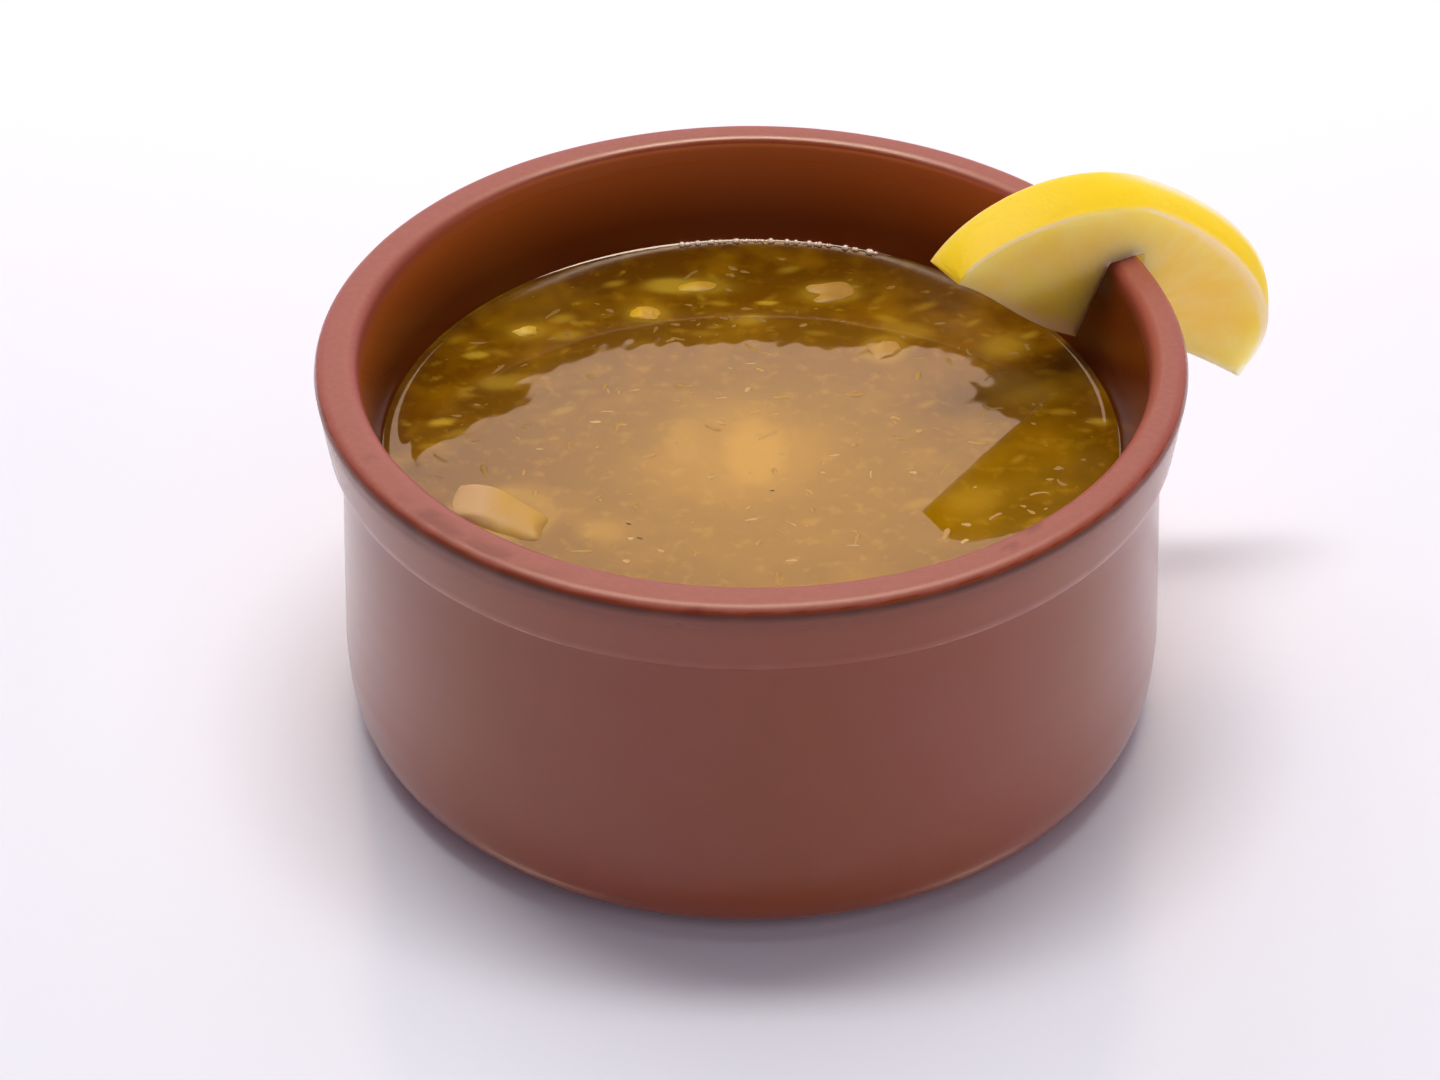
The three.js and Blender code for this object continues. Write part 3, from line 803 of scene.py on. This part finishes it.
def in_slit(along, above):
    """Whether points lie inside the slit's outline, by counting the sides that a ray crosses."""
    inside = np.zeros(along.shape, dtype=bool)
    for (a0, b0), (a1, b1) in zip(slit_outline, np.roll(slit_outline, -1, 0)):
        crosses = (b0 > above) != (b1 > above)
        if b1 != b0:
            inside ^= crosses & (along < a0 + (above - b0) / (b1 - b0) * (a1 - a0))
    return inside


def in_wall(point):
    """Whether points lie inside the top of the bowl's wall, grown by the gap."""
    r = np.hypot(point[..., 0], point[..., 1])
    inner = wall_radius + wall_lean * (point[..., 2] - broth_level) - wall_gap
    return (r > inner) & (r < rim_radius + wall_gap) & (point[..., 2] < bowl_height + wall_gap)


def column_along(column, above):
    """Columns near the slit lean with its inner edge, and the rest stand square to the edge."""
    lean = smoothstep(column, 10 * mm, 26 * mm) * (1 - smoothstep(column, 34 * mm, 52 * mm))
    return column - column_lean * lean * above


def lowest(column, back):
    """The lower edge of each column: the straight edge, or the top of the slit and the wall."""
    low = straight_edge(column_along(column, 0), back)
    above = np.linspace(-6 * mm, 20 * mm, 261).reshape(-1, *[1] * column.ndim)
    along = column_along(column[None], above)
    cut = in_slit(along, above) | in_wall(slice_place(along, above, back * slice_thickness))
    top = np.where(cut, above, -1).max(0)
    return np.maximum(low, top)


# The parts of a closed loop round the slice, in their order
front_face, front_corner, over_rind, back_corner, back_face, cut_edge = range(6)


def slice_section():
    """One closed loop round the slice: for each of its points how far back it lies, its part,
    and its share of the way over that part, or its angle in a rounded corner."""
    corner = np.linspace(0, np.pi / 2, 5)[1:-1]
    up = np.linspace(0, 1, 34)
    across = np.linspace(0, 1, 12)
    under = np.linspace(0, 1, 10)[1:-1]
    back = np.concatenate([0 * up, 0 * corner, across, 0 * corner + 1, 0 * up + 1, 1 - under])
    stretches = [up, corner, across, corner[::-1], up[::-1], under]
    part = np.repeat(range(6), [len(stretch) for stretch in stretches])
    return back, part, np.concatenate(stretches)


columns = slice_length * (1 - np.cos(np.linspace(0, np.pi, 260))) / 2
back, part, share = slice_section()
column, depth = np.meshgrid(columns, back, indexing="ij")
low = lowest(column, depth)
high = rind_height(column, depth)
for _ in range(6):
    high = rind_height(column_along(column, high), depth)
low = np.minimum(low, high - 0.4 * mm)
edge_round = np.minimum(0.9 * mm, (high - low) / 2.2)
on_face = (part == front_face) | (part == back_face)
on_corner = (part == front_corner) | (part == back_corner)
on_rind = part == over_rind
above = np.where(on_face, low + (high - edge_round - low) * share, 0)
above = np.where(on_corner, high - edge_round + edge_round * np.sin(share), above)
above = np.where(on_rind, high + 0.35 * mm * np.sin(np.pi * share), above)
above = np.where(part == cut_edge, low, above)
inset = edge_round * (1 - np.cos(share))
deep = depth * slice_thickness
deep = np.where(part == front_corner, inset, deep)
deep = np.where(part == back_corner, slice_thickness - inset, deep)
deep = np.where(on_rind, edge_round + (slice_thickness - 2 * edge_round) * share, deep)
along = column_along(column, above)
slice_grid = slice_place(along, above, deep)

# Where each point lies in the fruit: its angle round the core and its share of the way out
out = np.stack([along, above], -1) - fruit_centre
fruit_angle = np.arctan2(out[..., 1], out[..., 0])
from_rind = np.maximum(rind_height(column, depth) - above, 0)
fruit_radius = np.hypot(out[..., 0], out[..., 1])


def lemon_fruit():
    """A lemon slice. To the eye: waxy bright yellow rind with fine pores, a thin dull white pith
    and wet gold flesh that light comes through, paler along the membranes, streaked by juice
    sacs and painted paler near the slit as a glow of light through it."""
    material, tree, shader = new_material("cut_lemon")
    place = add(tree, "ShaderNodeTexCoord").outputs["Object"]
    rind, pith, shade = [
        add(tree, "ShaderNodeAttribute", attribute_name=name).outputs["Fac"]
        for name in ["rind", "pith", "shade"]
    ]
    fruit = add(tree, "ShaderNodeAttribute", attribute_name="fruit").outputs["Vector"]
    sacs = add(tree, "ShaderNodeTexNoise", [("Vector", fruit)], Scale=1.0, Detail=4.0)
    streak = add(tree, "ShaderNodeMapRange", [("Value", sacs.outputs["Fac"])],
                 From_Min=0.35, From_Max=0.65)
    cloud = add(tree, "ShaderNodeTexNoise", [("Vector", place)], Scale=1 / 0.012, Detail=2.0)
    skin = layered(tree, rind_yellow, [(cloud.outputs["Fac"], rind_deep)])
    body = layered(tree, flesh_gold, [(streak.outputs[0], flesh_pale), (shade, flesh_glow),
                                      (pith, pith_white), (rind, skin)])
    tree.links.new(body, shader.inputs["Base Color"])
    pores = add(tree, "ShaderNodeTexVoronoi", [("Vector", place)], Scale=1 / 0.0011)
    pitted = add(tree, "ShaderNodeMath", [(0, pores.outputs["Distance"]), (1, rind)],
                 operation="MULTIPLY")
    bump = add(tree, "ShaderNodeBump", [("Height", pitted.outputs[0])], Distance=0.25 * mm,
               Strength=0.2)
    relief = add(tree, "ShaderNodeBump", [("Height", sacs.outputs["Fac"]),
                                          ("Normal", bump.outputs[0])],
                 Distance=0.3 * mm, Strength=0.5)
    tree.links.new(relief.outputs[0], shader.inputs["Normal"])
    shader.inputs["Roughness"].default_value = 0.42
    shader.inputs["IOR"].default_value = 1.36
    shader.inputs["Specular IOR Level"].default_value = 0.2
    clear = add(tree, "ShaderNodeMapRange", [("Value", rind)], To_Min=1.0, To_Max=0.45)
    tree.links.new(clear.outputs[0], shader.inputs["Subsurface Weight"])
    shader.inputs["Subsurface Radius"].default_value = (1.0, 0.95, 0.6)
    shader.inputs["Subsurface Scale"].default_value = 25 * mm
    return material


lemon = ring_piece("lemon_half_slice", slice_grid, lemon_fruit())
corner_share = np.where(part == back_corner, share + 0.7, share)
rind_mask = on_rind + on_corner * smoothstep(corner_share, 0.5, 1.2) + 0 * above
pith_width = (0.9 + 1.9 * smoothstep(along, 30 * mm, 58 * mm)) * mm
pith_mask = 1 - smoothstep(from_rind, 0.6 * pith_width, 1.3 * pith_width)
segment = 0.5 + 0.5 * np.cos(fruit_angle * 9 + 0.6)
membrane = 0.12 * smoothstep(segment, 0.85, 1.0)
from_cut = above - straight_edge(along, depth) + 0.8 * mm * waves(slice_grid, 3 * mm, 41)
torn_edge = 0.8 * (1 - smoothstep(from_cut, 0.3 * mm, 3.5 * mm)) * (depth < 0.1)
torn_edge = torn_edge * smoothstep(along, 3 * mm, 24 * mm) * (along < 30 * mm)
pith_mask = np.maximum(pith_mask, np.maximum(membrane, torn_edge))
# Painted light: a wedge by the core and the slice's left part, most near the cut, turn a paler
# gold, standing for light that comes through the flesh
wedge = bell(fruit_angle, 2.75, 0.30) * smoothstep(fruit_radius, 1 * mm, 4 * mm)
wedge = wedge * (1 - smoothstep(fruit_radius, 9 * mm, 14 * mm))
left_share = 1 - smoothstep(along, 24 * mm, 40 * mm)
near_cut = (1 - smoothstep(above, 3 * mm, 11 * mm)) * smoothstep(along, 6 * mm, 14 * mm)
shade = np.clip(0.25 * wedge + (0.2 + 0.4 * near_cut) * left_share, 0, 1)
pale_back = 0.85 * smoothstep(depth, 0.6, 0.9) * smoothstep(along, 20 * mm, 30 * mm)
rind_mask = rind_mask * (1 - pale_back)
pith_mask = np.maximum(pith_mask, pale_back * (on_rind | on_corner))
rind_end = np.where(part == cut_edge, 3.5 * mm, 0.3 * mm)
rind_mask = np.maximum(rind_mask, 1 - smoothstep(along / rind_end, 0.8, 1.2))
paint(lemon, "rind", rind_mask.ravel())
paint(lemon, "pith", pith_mask.ravel())
paint(lemon, "shade", shade.ravel())
fruit = np.stack([fruit_angle * 6, fruit_radius / (9 * mm), depth * 3], -1)
paint(lemon, "fruit", fruit.reshape(-1, 3))
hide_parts("lemon_slice")


# The studio. A pale, faintly glossy table top runs out of sight under soft light from above and
# all round. The broth mirrors an oval panel at the back, and the glaze a low pale backdrop.
floor_half = 3.0
table = bpy.data.meshes.new("table_top")
table.from_pydata([(-floor_half, -floor_half, 0), (floor_half, -floor_half, 0),
                   (floor_half, floor_half, 0), (-floor_half, floor_half, 0)], [], [(0, 1, 2, 3)])
floor = bpy.data.objects.new("table_top", table)
scene.collection.objects.link(floor)
table_material, _, table_shader = new_material("pale_table")
table_shader.inputs["Base Color"].default_value = linear("#FAFCFF")
table_shader.inputs["Roughness"].default_value = 0.22
table.materials.append(table_material)

world = bpy.data.worlds.new("studio")
scene.world = world
world.use_nodes = True
world.node_tree.nodes["Background"].inputs["Color"].default_value = linear("#DCD4FF")
world.node_tree.nodes["Background"].inputs["Strength"].default_value = 0.07


def light_panel(name, azimuth, elevation, distance, width, height, radiance, colour):
    """A soft panel that faces the bowl, of a given brightness. An oval one with the same figures
    is as bright to look at, as its power goes by its width and height alone."""
    lamp = bpy.data.lights.new(name, "AREA")
    lamp.shape = "RECTANGLE"
    lamp.size = width
    lamp.size_y = height
    lamp.energy = radiance * np.pi * width * height
    lamp.color = linear(colour)[:3]
    panel = bpy.data.objects.new(name, lamp)
    scene.collection.objects.link(panel)
    az, el = np.radians(azimuth), np.radians(elevation)
    away = np.array([np.sin(az) * np.cos(el), np.cos(az) * np.cos(el), np.sin(el)])
    side = np.array([np.cos(az), -np.sin(az), 0])
    over = np.cross(away, side)
    turn = np.eye(4)
    turn[:3] = np.stack([side, over, away, away * distance], 1)
    panel.matrix_world = Matrix(turn.tolist())
    return panel


# Seen in reflections: the broth's pale veil, the sheen at the bowl's sides, and, from a strip
# that lights nothing else, the bright line where the broth climbs the wall
wall_panel = light_panel("wall_panel", 0, 45, 1.1, 0.47, 0.40, 2.75, "#FFDCC4")
wall_panel.data.shape = "ELLIPSE"
backdrop = light_panel("backdrop", 0, 14, 1.7, 4.2, 0.9, 1.2, "#FBEEFF")
backdrop.data.shape = "ELLIPSE"
top_strip = light_panel("top_strip", 0, 84, 1.2, 1.36, 0.26, 26.0, "#FFEAD4")
top_strip.visible_diffuse = False
# Not seen in reflections: the key above, wide and shallow so that the shadow is short in front
# and soft at the sides, and the fill
for panel in [
    light_panel("key_panel", 0, 84, 1.2, 0.70, 0.15, 19.6, "#FFFCFF"),
    light_panel("top_panel", 0, 80, 1.2, 1.2, 0.8, 1.35, "#FCFCFF"),
    light_panel("back_top", 0, 70, 1.2, 0.5, 0.4, 1.5, "#FCFCFF"),
    light_panel("front_top", 160, 52, 1.2, 0.8, 0.5, 0.8, "#F8F4FF"),
    light_panel("back_left", -38, 48, 1.1, 0.45, 0.4, 1.3, "#FFFFFF"),
    light_panel("left_side", -95, 4.5, 1.3, 1.3, 0.2, 6.8, "#E6D8FF"),
    light_panel("right_side", 95, 4.5, 1.3, 1.3, 0.2, 7.3, "#E6D8FF"),
    light_panel("front_panel", 150, 5, 1.3, 1.4, 0.2, 3.0, "#FFFFFF"),
]:
    panel.visible_glossy = False


# The camera. It stands above and in front of the bowl, as the photograph was taken, with its
# turn, tilt and lens worked out from the bowl's rim, base and sides.
camera_distance = 576 * mm
camera_elevation = np.radians(39.32)
camera_pitch = np.radians(37.061)
camera_yaw = np.radians(-0.687)
camera_roll = np.radians(-0.574)
lens = bpy.data.cameras.new("camera")
lens.sensor_width = 36
lens.sensor_fit = "HORIZONTAL"
lens.lens = 80.735
camera = bpy.data.objects.new("camera", lens)
scene.collection.objects.link(camera)
ahead = np.array([np.sin(camera_yaw) * np.cos(camera_pitch),
                  np.cos(camera_yaw) * np.cos(camera_pitch), -np.sin(camera_pitch)])
level = np.array([np.cos(camera_yaw), -np.sin(camera_yaw), 0])
upright = np.cross(level, ahead)
pose = np.eye(4)
pose[:3, 0] = np.cos(camera_roll) * level + np.sin(camera_roll) * upright
pose[:3, 1] = np.cos(camera_roll) * upright - np.sin(camera_roll) * level
pose[:3, 2] = -ahead
pose[:3, 3] = camera_distance * np.array([0, -np.cos(camera_elevation), np.sin(camera_elevation)])
camera.matrix_world = Matrix(pose.tolist())
scene.camera = camera
scene.view_settings.view_transform = "Standard"
